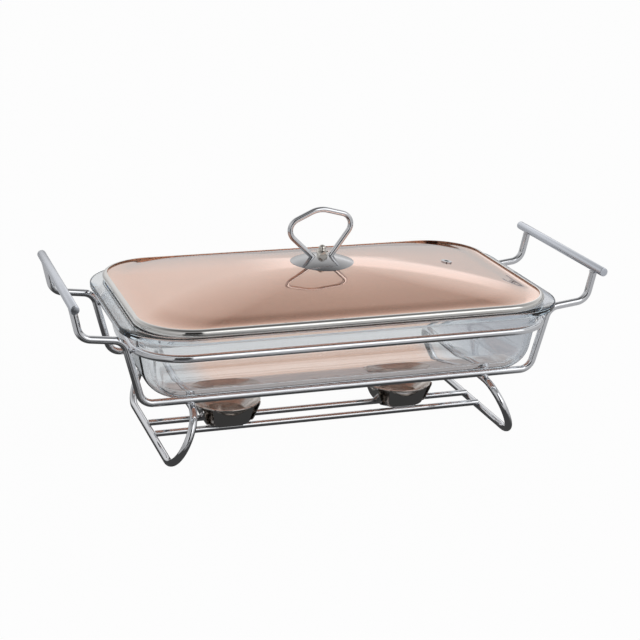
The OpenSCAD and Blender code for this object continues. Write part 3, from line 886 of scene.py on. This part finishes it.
def rubber():
    """Matt black rubber with a fine grain."""
    mat, tree, skin = new_material("gasket_rubber")
    height = polish_on(
        tree,
        skin,
        light=(0.030, 0.029, 0.029),
        dark=(0.018, 0.018, 0.018),
        smooth=0.55,
        hazy=0.75,
        scale=300,
    )
    bump_from(tree, skin, height, rubber_grain, rubber_grain_depth)
    return mat


gasket_rubber = rubber()
for node in ("knob_gasket", "knob_lower_gasket"):
    dress(node, gasket_rubber)


# Knob loop
# A loop of 5 mm chromed wire, bent at two shoulders and at the top, and welded by its feet to the
# plate on both sides of the nut. It leans a little to the left.
loop_r = 0.0026
loop_tilt = math.radians(-5)
loop_bend_r = 0.011
loop_top_r = 0.023
loop_h = 0.0504
loop_half_w = 0.0375
loop_shoulder_h = 0.0368
nut_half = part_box("knob_cap_nut")[1].x
foot_air = 0.0009
foot_sink = 0.0012
loop_lean = math.atan((loop_half_w - nut_half - foot_air - loop_r) / (loop_shoulder_h - seat_h))
foot_x = nut_half + foot_air + loop_r / math.cos(loop_lean) - foot_sink * math.tan(loop_lean)
loop_top = Vector((0, 0, loop_h - seat_h))
loop_shoulder = Vector((loop_half_w, 0, loop_shoulder_h - seat_h))
loop_foot = Vector((foot_x, 0, -foot_sink))
loop_corners = [to_left @ loop_foot, to_left @ loop_shoulder, loop_top, loop_shoulder, loop_foot]
loop_bends = [loop_bend_r, loop_top_r, loop_bend_r]
stand_loop = Matrix.Translation((0, 0, plate_high.z)) @ Matrix.Rotation(loop_tilt, 4, "Y")
bm = bmesh.new()
form_wire(bm, [stand_loop @ p for p in loop_corners], loop_bends, loop_r)
loop = finish_piece("knob_loop_formed", bm, chrome, "lid")
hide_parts("knob_loop")


# Studio
# A pale floor under a white sky, a large soft light at the front right, and soft-edged cards that
# show only in reflections or only through glass. Dark flags in front are set as a product
# photographer sets them for chrome. The other cards are painted light: painted shadow under the
# stand in reflections, painted shadow and shade on the floor seen through glass, and a painted
# highlight behind.
floor_half = 6.0
card_z = 0.0006


def stage_plane(name, corners, material):
    """A flat stage piece through four corners."""
    bm = bmesh.new()
    face = bm.faces.new([bm.verts.new(c) for c in corners])
    spread = bm.loops.layers.uv.new("UVMap")
    for corner, uv in zip(face.loops, ((0, 0), (1, 0), (1, 1), (0, 1))):
        corner[spread].uv = uv
    mesh = bpy.data.meshes.new(name)
    bm.to_mesh(mesh)
    bm.free()
    mesh.materials.append(material)
    plane = bpy.data.objects.new(name, mesh)
    bpy.context.scene.collection.objects.link(plane)
    plane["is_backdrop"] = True
    return plane


def lying(low, high, z):
    """Corners of a level plane between two corners of its plan."""
    return [(low[0], low[1], z), (high[0], low[1], z), (high[0], high[1], z), (low[0], high[1], z)]


def standing(first, last, foot, top):
    """Corners of an upright plane between two places in plan."""
    return [(*first, foot), (*last, foot), (*last, top), (*first, top)]


def floor_material():
    """Pale floor: nearly white to the camera, and greyer in metal and glass, with soft shadows."""
    mat, tree, skin = new_material("pale_floor")
    skin.inputs["Base Color"].default_value = (0.75, 0.75, 0.76, 1)
    skin.inputs["Roughness"].default_value = 0.9
    skin.inputs["Specular IOR Level"].default_value = 0.0
    white = tree.nodes.new("ShaderNodeEmission")
    white.inputs["Color"].default_value = (1, 1, 1, 1)
    seen = tree.nodes.new("ShaderNodeLightPath")
    shown = {"Is Camera Ray": 0.97, "Is Glossy Ray": 0.18, "Is Transmission Ray": 0.24}
    total = 0.0
    for ray, share in shown.items():
        total = math_node(tree, "MULTIPLY_ADD", seen.outputs[ray], share, total)
    mix = tree.nodes.new("ShaderNodeMixShader")
    tree.links.new(total, mix.inputs[0])
    tree.links.new(skin.outputs[0], mix.inputs[1])
    tree.links.new(white.outputs[0], mix.inputs[2])
    tree.links.new(mix.outputs[0], tree.nodes["Material Output"].inputs["Surface"])
    return mat


def soft_card(name, corners, colour, fade, through_glass=False):
    """A card that fades away towards its edges and casts no shadow. It shows only in mirror-like
    rays, or only in rays that pass through glass."""
    mat, tree, skin = new_material(name)
    tree.nodes.remove(skin)
    link = tree.links.new
    place = tree.nodes.new("ShaderNodeTexCoord")
    spread = tree.nodes.new("ShaderNodeMapping")
    spread.inputs["Location"].default_value = (-1, -1, 0)
    spread.inputs["Scale"].default_value = (2, 2, 1)
    parts = tree.nodes.new("ShaderNodeSeparateXYZ")
    link(place.outputs["UV"], spread.inputs["Vector"])
    link(spread.outputs["Vector"], parts.inputs[0])
    across = math_node(tree, "ABSOLUTE", parts.outputs["X"])
    along = math_node(tree, "ABSOLUTE", parts.outputs["Y"])
    fall = tree.nodes.new("ShaderNodeMapRange")
    fall.interpolation_type = "SMOOTHSTEP"
    fall.inputs["From Min"].default_value = 1 - fade
    fall.inputs["To Min"].default_value = 1.0
    fall.inputs["To Max"].default_value = 0.0
    clear = tree.nodes.new("ShaderNodeBsdfTransparent")
    glow = tree.nodes.new("ShaderNodeEmission")
    glow.inputs["Color"].default_value = (*colour, 1)
    mix = tree.nodes.new("ShaderNodeMixShader")
    link(math_node(tree, "MAXIMUM", across, along), fall.inputs["Value"])
    link(fall.outputs["Result"], mix.inputs[0])
    link(clear.outputs[0], mix.inputs[1])
    link(glow.outputs[0], mix.inputs[2])
    link(mix.outputs[0], tree.nodes["Material Output"].inputs["Surface"])
    card = stage_plane(name, corners, mat)
    card.visible_camera = False
    card.visible_diffuse = False
    card.visible_shadow = False
    card.visible_glossy = not through_glass
    card.visible_transmission = through_glass


floor_plan = lying((-floor_half, -floor_half), (floor_half, floor_half), 0)
stage_plane("floor", floor_plan, floor_material())
# Painted shadow: a dark sheet under and around the stand that shows only in reflections, standing
# in for the shaded floor there.
under_shadow_plan = lying((-0.40, -0.28), (0.27, 0.24), card_z)
soft_card("under_shadow_card", under_shadow_plan, (0.065, 0.065, 0.065), fade=0.30)
gap_corners = ((-1.2, -1.8), (0.0, -1.8), (0.03, -0.15), (-0.20, -0.15))
gap_plan = [(*corner, card_z) for corner in gap_corners]
soft_card("gap_floor_card", gap_plan, (0.03, 0.03, 0.03), fade=0.3)
gap_wall = standing((-1.05, -1.8), (0.15, -1.8), foot=0, top=2.0)
soft_card("gap_card", gap_wall, (0.02, 0.02, 0.02), fade=0.18)
for name, low, high, colour, fade in (
    # Painted shadow: copper-tinted shade on the table behind the dish, where the lid's tinted
    # shadow falls, seen only through glass.
    ("tinted_shadow_card", (-0.10, 0.08), (0.20, 0.195), (0.82, 0.56, 0.44), 0.24),
    # Painted shade: a grey patch of floor under the dish, seen only through glass.
    ("shade_card", (-0.22, -0.10), (0.24, 0.098), (0.42, 0.38, 0.37), 0.12),
    # Painted shade: a grey patch of floor to the right of the dish, seen only through glass.
    ("side_shade_card", (0.20, -0.10), (0.70, 0.50), (0.42, 0.43, 0.46), 0.12),
):
    soft_card(name, lying(low, high, card_z), colour, fade, through_glass=True)


def studio_sky():
    """A sky that is brightest a little above the horizon, dim overhead and dimmer to the sides. It
    is white to the camera and nearly so through glass."""
    stops = (
        (0.0, 0.60),
        (0.20, 0.80),
        (0.34, 0.95),
        (0.52, 0.72),
        (0.75, 0.50),
        (0.90, 0.25),
        (1.0, 0.07),
    )
    glass_lift = 0.9
    side_slope, side_curve = 0.10, -0.28
    world = bpy.data.worlds.new("studio_sky")
    bpy.context.scene.world = world
    world.use_nodes = True
    tree = world.node_tree
    sky = tree.nodes["Background"]
    way = tree.nodes.new("ShaderNodeTexCoord")
    parts = tree.nodes.new("ShaderNodeSeparateXYZ")
    ramp = tree.nodes.new("ShaderNodeValToRGB")
    ramp.color_ramp.interpolation = "B_SPLINE"
    while len(ramp.color_ramp.elements) < len(stops):
        ramp.color_ramp.elements.new(0.5)
    for stop, (place, grey) in zip(ramp.color_ramp.elements, stops):
        stop.position = place
        stop.color = (grey, grey, grey, 1)
    tree.links.new(way.outputs["Generated"], parts.inputs[0])
    tree.links.new(parts.outputs["Z"], ramp.inputs[0])
    seen = tree.nodes.new("ShaderNodeLightPath")
    by_camera = seen.outputs["Is Camera Ray"]
    by_glass = seen.outputs["Is Transmission Ray"]
    lift = math_node(tree, "MULTIPLY_ADD", by_glass, glass_lift, by_camera)
    white = tree.nodes.new("ShaderNodeMix")
    white.data_type = "RGBA"
    white.inputs["B"].default_value = (1, 1, 1, 1)
    tree.links.new(lift, white.inputs["Factor"])
    tree.links.new(ramp.outputs["Color"], white.inputs["A"])
    tree.links.new(white.outputs["Result"], sky.inputs["Color"])
    lean = math_node(tree, "MULTIPLY_ADD", parts.outputs["X"], side_curve, side_slope)
    level = math_node(tree, "MULTIPLY_ADD", lean, parts.outputs["X"], 1.0)
    plain = tree.nodes.new("ShaderNodeMix")
    plain.inputs["B"].default_value = 1.0
    tree.links.new(level, plain.inputs["A"])
    tree.links.new(by_camera, plain.inputs["Factor"])
    tree.links.new(plain.outputs["Result"], sky.inputs["Strength"])


studio_sky()

key_place = Vector((1.1, -1.7, 1.6))
key_aim = Vector((0, 0, 0.1))
key_lamp = bpy.data.lights.new("key_softbox", "AREA")
key_lamp.shape = "RECTANGLE"
key_lamp.size = 1.8
key_lamp.size_y = 1.4
key_lamp.energy = 8
key_softbox = bpy.data.objects.new("key_softbox", key_lamp)
key_softbox.location = key_place
key_softbox.rotation_euler = (key_aim - key_place).to_track_quat("-Z", "Y").to_euler()
bpy.context.scene.collection.objects.link(key_softbox)
# Painted highlight: a bright card behind the stand that lights nothing and shows only in
# reflections, as a soft band of light on the lid.
back_highlight_wall = standing((0.45, 2.4), (1.6, 2.0), foot=0.62, top=1.15)
soft_card("back_highlight_card", back_highlight_wall, (1.2, 1.19, 1.2), fade=0.5)

# Light runs a long way inside the walls and the flange of the dish before it comes out again.
bounces = bpy.context.scene.cycles
bounces.max_bounces = 24
bounces.glossy_bounces = 16
bounces.transmission_bounces = 24


# Camera
# It stands at the photograph's viewpoint, a little above the lid and to the left of the middle.
eye = Vector((-0.4563, -1.2973, 0.5558))
turn_left = math.radians(-18.611)
look_down = math.radians(18.301)
roll = math.radians(1.596)
focal_px = 1519.72
image_px = 640
axis_px = 300.69
lens_data = bpy.data.cameras.new("camera")
lens_data.sensor_width = 36.0
lens_data.lens = focal_px * lens_data.sensor_width / image_px
lens_data.shift_x = (image_px / 2 - axis_px) / image_px
camera = bpy.data.objects.new("camera", lens_data)
aim = Matrix.Rotation(turn_left, 4, "Z") @ Matrix.Rotation(math.pi / 2 - look_down, 4, "X")
camera.matrix_world = Matrix.Translation(eye) @ aim @ Matrix.Rotation(roll, 4, "Z")
bpy.context.scene.collection.objects.link(camera)
bpy.context.scene.camera = camera
bpy.context.scene.view_settings.view_transform = "Standard"

low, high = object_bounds()
